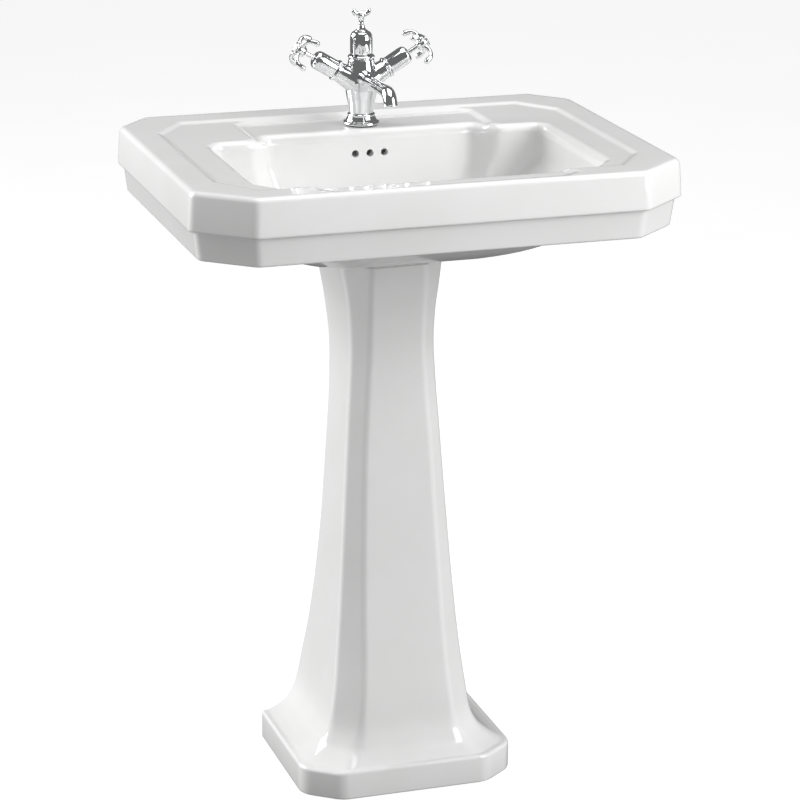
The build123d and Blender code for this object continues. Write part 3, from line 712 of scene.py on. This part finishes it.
def floor_lug(x):
    """Flat ear at the back of the plinth with a hole for a floor screw."""
    turns, reach, side = 48, 26, 136
    low_x, high_x = max(x - reach, -side), min(x + reach, side)
    outline = rounded([(low_x, 84), (high_x, 84), (high_x, 126), (low_x, 126)], 5, 6)
    angles = np.linspace(0, 2 * pi, turns, endpoint=False)
    centre = np.array([x, LUG_Y])
    rings = []
    for inset, z in ((1.2, 12), (0, 10.8), (0, 0)):
        edge = rays_hit(outline, centre, angles)
        edge = centre + (edge - centre) * (1 - inset / 22)
        rings.append(np.column_stack([edge, np.full(turns, z)]))
    for r, z in ((LUG_HOLE_R, 0), (LUG_HOLE_R, 11), (LUG_HOLE_R + 1, 12)):
        xs, ys = x + r * np.cos(angles), LUG_Y + r * np.sin(angles)
        rings.append(np.column_stack([xs, ys, np.full(turns, z)]))
    return np.vstack(rings).tolist(), ring_faces(len(rings), turns, loop=True)


make_pedestal()

# ---- tap ---------------------------------------------------------------------------------------
cap_low, cap_high = node_box("pillar_cap")
knob_low, knob_high = node_box("lift_knob")
SPOUT_TOP = node_box("spout")[1][2]
aerator_low, aerator_high = node_box("aerator_housing")
PILLAR_Z = node_box("pillar_bead")[0][2]
COVER_TOP = cap_low[2]
UPRIGHT = Matrix.Translation((0, TAP_Y, 0))
BODY_BASE = foot_high[2]
BORE = 2.5
SPOUT_AXIS = 7.5  # from the spout's top down to its middle line
SPOUT_BEND = 15.0
SPOUT_STEP = 3
AERATOR_R = 6.6
ARM_TILT = 31
COLLAR_START, COLLAR_END = 37, 41
COVER_END = 72.0
HUB_START, HUB_END = 86.0, 98.0
CLAWS = 4


def make_upright():
    """Foot, vase, bead ring, cover and finial, one above another on the tap's axis."""
    z = FLANGE_Z
    foot = [(12, z), (22.6, z), (23.4, z + 1.6), (22.8, z + 3.2), (20.4, z + 4.4), (18.6, z + 7.4),
            (17.2, z + 10.4), (17.6, BODY_BASE - 1.2), (16.6, BODY_BASE), (12, BODY_BASE)]
    made = turned("tap_foot_ring", foot, CHROME, UPRIGHT, 96, 1.0)
    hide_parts("tap_foot")
    z = BODY_BASE
    vase = [(BORE, z), (15.4, z), (15.6, z + 3), (16.9, z + 12), (18.6, z + 21), (19.9, z + 30),
            (20.4, z + 40), (20.0, z + 49), (18.6, z + 58), (16.6, z + 65), (16.0, PILLAR_Z),
            (BORE, PILLAR_Z)]
    made = turned("tap_body_vase", vase, CHROME, UPRIGHT, 96, 9.0)
    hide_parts("tap_body")
    z = PILLAR_Z
    bead = [(10, z), (15.6, z), (17.0, z + 1.4), (17.0, z + 2.6), (15.6, z + 4), (10, z + 4)]
    made = turned("pillar_ring", bead, CHROME, UPRIGHT, 96, 0.9)
    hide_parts("pillar_bead")
    z = PILLAR_Z + 4
    cover = [(BORE, z), (14.1, z), (14.1, z + 20), (13.5, z + 25), (11.6, z + 28.6),
             (8.4, COVER_TOP), (BORE, COVER_TOP)]
    made = turned("pillar_sleeve", cover, CHROME, UPRIGHT, 96, 4.0)
    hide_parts("pillar_cover")
    z, top = COVER_TOP, cap_high[2]
    cap = [(BORE, z), (8.0, z), (8.2, z + 0.8), (6.0, z + 2.0), (4.5, z + 4.6), (4.1, z + 7),
           (3.6, top), (BORE, top)]
    made = turned("pillar_finial", cap, CHROME, UPRIGHT, 64, 0.8)
    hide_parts("pillar_cap")


def make_knob():
    """Two-winged lift knob on its turned neck."""
    z = knob_low[2]
    tip_x, tip_z = knob_high[0] - 1.9, knob_high[2] - 2.0
    neck = [(0.02, z), (3.4, z), (2.8, z + 2.5), (2.9, z + 5), (3.8, z + 8), (5.4, z + 11),
            (4.6, z + 13.6), (0.02, z + 14.4)]
    outline = rounded(neck, 1.2, 4, closed=False)
    turns = 40
    verts = [p for r, h in outline for p in circle(r, h, turns)]
    parts = [(verts, ring_faces(len(outline), turns))]
    for side in (-1, 1):
        path = spline([(0, 0, z + 12.6), (side * 4.4, 0, z + 12.8), (side * 8.2, 0, z + 14.4),
                       (side * (tip_x - 0.6), 0, tip_z - 0.6)], 8)
        radii = [3.9 - 0.7 * wave(i / 14) - 0.3 * wave((i - 14) / 10) for i in range(len(path))]
        path, radii = domed(path, [float(r) for r in radii])
        parts.append(tube_mesh(path, radii, 24, 0.85, (0, 1, 0)))
    made = merged("lift_knob_wings", parts, CHROME, "lift", UPRIGHT, 60)
    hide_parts("lift_knob")


def make_spout():
    """Spout that swells towards its turned-down end, with the aerator's ring below."""
    z = SPOUT_TOP - SPOUT_AXIS
    end_y = (aerator_low[1] + aerator_high[1]) / 2
    start_y = TAP_Y - 8
    count = int((start_y - end_y - SPOUT_BEND) / SPOUT_STEP) + 1
    path = [(0, start_y - SPOUT_STEP * i, z) for i in range(count)]
    for k in range(1, 15):
        a = pi / 2 * k / 14
        path.append((0, end_y + SPOUT_BEND * (1 - sin(a)), z - SPOUT_BEND * (1 - cos(a))))
    radii = []
    for _, y, _ in path:
        out = TAP_Y - y
        root = 3.6 * (1 - wave((out - 12) / 20))
        radii.append(float(7.3 + root + 1.1 * wave((out - 84) / 30)))
    made = merged("spout_arm", [tube_mesh(path, radii, 48)], CHROME)
    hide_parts("spout")
    low, top = aerator_low[2], aerator_high[2] + 0.2
    place = Matrix.Translation((0, end_y, 0))
    ring = [(AERATOR_R, low), (8.3, low), (9.0, low + 0.9), (9.0, top - 0.8), (8.5, top),
            (AERATOR_R, top)]
    made = turned("aerator_ring", ring, CHROME, place, 64, 0.5)
    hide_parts("aerator_housing")


def make_arms():
    """Both arms, each with its collar, valve cover and handle."""
    start, end, top = COLLAR_START, COLLAR_END, COVER_END
    for side, name in ((-1, "hot"), (1, "cold")):
        place = ARM_PLACES[side]
        arm = [(0.02, 0), (16.8, 0), (16.4, 10), (13.6, 24), (12.0, 35), (12.0, start),
               (0.02, start)]
        turned(name + "_arm", arm, CHROME, place, 72, 3.0)
        collar = [(7, start), (12.8, start), (13.7, start + 1.2), (13.7, end - 1.2), (12.8, end),
                  (7, end)]
        made = turned(name + "_ring", collar, CHROME, place, 72, 0.8)
        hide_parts(name + "_collar")
        cover = [(9, end), (11.7, end), (11.9, top - 8), (11.4, top - 3.6), (8.8, top - 0.4),
                 (5.4, top), (4, top), (4, top - 2.5), (9, top - 2.5)]
        made = turned(name + "_sleeve", cover, CHROME, place, 72, 2.2)
        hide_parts(name + "_valve_cover")
        make_handle(name, place)


def make_handle(name, place):
    """Four-clawed handle with its bezel and porcelain index disc."""
    body = name + "_handle"
    low, top = HUB_START, HUB_END
    turns = 56
    hub = rounded([(2.85, low), (5.2, low), (6.2, low + 1.4), (7.8, low + 3.6), (8.2, top - 3),
                   (7.7, top), (4.4, top), (4.4, top - 4), (2.85, top - 4)], 0.8, 4)
    verts = [p for r, h in hub for p in circle(r, h, turns)]
    parts = [(verts, ring_faces(len(hub), turns, loop=True))]
    for claw in range(CLAWS):
        turn = Matrix.Rotation(radians(45 + 360 / CLAWS * claw), 4, "Z")
        path = spline([(5.0, 0, top - 5), (11.5, 0, top - 2.6), (18.0, 0, top - 3.4),
                       (22.8, 0, top - 7.2), (25.0, 0, top - 14.0)], 7)
        radii = [3.3 - 0.8 * wave(i / 12) + 1.1 * wave((i - 15) / 13) for i in range(len(path))]
        path, radii = domed([turn @ p for p in path], [float(r) for r in radii])
        parts.append(tube_mesh(path, radii, 20))
    made = merged(name + "_claw", parts, CHROME, body, place, 60)
    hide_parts(name + "_handle")
    bezel = [(5.6, top), (7.5, top), (7.7, top + 1.6), (6.9, top + 3), (5.6, top + 3)]
    made = turned(name + "_bezel", bezel, CHROME, place, turns, 0.5, body)
    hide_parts(name + "_index_bezel")
    disc = [(0.02, top), (5.55, top), (5.55, top + 2.4), (3.6, top + 3.4), (0.02, top + 3.7)]
    made = turned(name + "_disc", disc, PORCELAIN, place, turns, 0.9, body)
    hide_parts(name + "_index_disc")


def arm_matrix(side):
    """Out along one arm: from the tap's axis towards the middle of that side's index disc."""
    prefix = "hot" if side < 0 else "cold"
    low, high = node_box(prefix + "_spindle")
    middle = Vector([(a + b) / 2 for a, b in zip(low, high)])
    tilt = radians(ARM_TILT)
    along = Vector((side * cos(tilt), 0, sin(tilt)))
    origin = middle - along * (abs(middle.x) / cos(tilt))
    turn = Matrix((Vector((0, 1, 0)), along.cross(Vector((0, 1, 0))), along)).transposed()
    return Matrix.Translation(origin) @ turn.to_4x4()


ARM_PLACES = {side: arm_matrix(side) for side in (-1, 1)}
make_upright()
make_knob()
make_spout()
make_arms()

# ---- pieces that keep their CAD shape ------------------------------------------------------------
KEPT = {
    CHROME: ["lift_rod", "waste_body", "plug", "trap_body", "trap_cup", "trap_inlet_nut",
             "trap_outlet_nut", "trap_outlet_pipe", "hot_spindle", "cold_spindle", "pivot_nut"],
    BRASS: ["hot_cartridge", "cold_cartridge", "waste_backnut", "pivot_rod", "strap_clamp"],
    COPPER: ["hot_tail", "cold_tail"],
    STEEL: ["fixing_stud", "fixing_plate", "fixing_nut", "hot_handle_screw", "cold_handle_screw",
            "rod_clip", "lift_strap", "strap_screw"],
    RUBBER: ["tap_base_gasket", "fixing_rubber", "waste_lower_seal", "plug_seal", "trap_cup_seal",
             "trap_inlet_seal", "trap_outlet_seal"],
    PLASTIC: ["aerator_insert", "pivot_seat"],
    SILICONE: ["pedestal_seal", "waste_upper_seal"],
}
for material, names in KEPT.items():
    for name in names:
        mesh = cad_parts[name].data
        mesh.materials.clear()
        mesh.materials.append(material)

# ---- stage ---------------------------------------------------------------------------------------
FLOOR_REACH, FLOOR_DROP, FLOOR_GLOW, WORLD_GLOW = 60.0, 0.0005, 0.86, 0.17
FLOOR = finish_look("pale_floor", (0.20, 0.20, 0.20), (0.22, 0.22, 0.22), (0.6, 0.7), 3,
                    (0.02, 0.001))


def make_floor():
    """Wide pale floor that glows softly, and that the object's shading and mirrors do not see."""
    shader = FLOOR.node_tree.nodes["Principled BSDF"]
    shader.inputs["Emission Color"].default_value = (1, 1, 1, 1)
    shader.inputs["Emission Strength"].default_value = FLOOR_GLOW
    mesh = bpy.data.meshes.new("floor")
    reach = FLOOR_REACH
    corners = [(-reach, -reach, 0), (reach, -reach, 0), (reach, reach, 0), (-reach, reach, 0)]
    mesh.from_pydata(corners, [], [(0, 1, 2, 3)])
    mesh.materials.append(FLOOR)
    made = linked("floor", mesh)
    made.location.z = -FLOOR_DROP
    made.visible_diffuse = False
    made.visible_glossy = False


def area_light(name, place, target, size, power, mirrored=True):
    """Rectangular light aimed at a point; mirrored says whether glossy surfaces show it."""
    light = bpy.data.lights.new(name, "AREA")
    light.shape = "RECTANGLE"
    light.size, light.size_y = size
    light.energy = power
    made = linked(name, light)
    made.location = place
    made.rotation_euler = (Vector(target) - Vector(place)).to_track_quat("-Z", "Y").to_euler()
    made.visible_glossy = mirrored


make_floor()
area_light("key", (2.2, -2.2, 1.9), (0, 0, 0.6), (1.8, 2.4), 92)
area_light("back_left", (-2.4, 1.7, 1.9), (0, 0, 0.7), (2.0, 2.2), 98)
area_light("top", (0.2, -0.1, 3.6), (0, 0, 0.5), (2.8, 2.4), 54)
area_light("low_left", (-2.4, 0.9, 0.4), (0, 0, 0.5), (1.6, 0.7), 34, False)
area_light("low_front", (1.3, -2.5, 0.35), (0, 0, 0.75), (2.0, 0.7), 19, False)

world = bpy.data.worlds.new("soft_white")
bpy.context.scene.world = world
world.use_nodes = True
sky = world.node_tree.nodes["Background"]
sky.inputs["Color"].default_value = (1, 1, 1, 1)
sky.inputs["Strength"].default_value = WORLD_GLOW
bpy.context.scene.view_settings.view_transform = "Standard"


CAMERA_PLACE = (-1.101, -3.416, 1.626)
AZIMUTH, ELEVATION, ROLL = -17.96, 17.52, 0.28
LENS_MM, SENSOR_MM = 135, 36
SHIFT = (0.0016, 0.0014)


def make_camera():
    """Three-quarter view from the front left, a little above the rim."""
    azimuth, elevation, roll = radians(AZIMUTH), radians(ELEVATION), radians(ROLL)
    back = Vector((sin(azimuth) * cos(elevation), -cos(azimuth) * cos(elevation), sin(elevation)))
    right = Vector((cos(azimuth), sin(azimuth), 0))
    up = back.cross(right)
    right, up = cos(roll) * right + sin(roll) * up, cos(roll) * up - sin(roll) * right
    data = bpy.data.cameras.new("camera")
    data.lens, data.sensor_width, data.clip_end = LENS_MM, SENSOR_MM, 50
    data.shift_x, data.shift_y = SHIFT
    made = linked("camera", data)
    turn = Matrix((right, up, back)).transposed().to_4x4()
    made.matrix_world = Matrix.Translation(CAMERA_PLACE) @ turn
    bpy.context.scene.camera = made


make_camera()
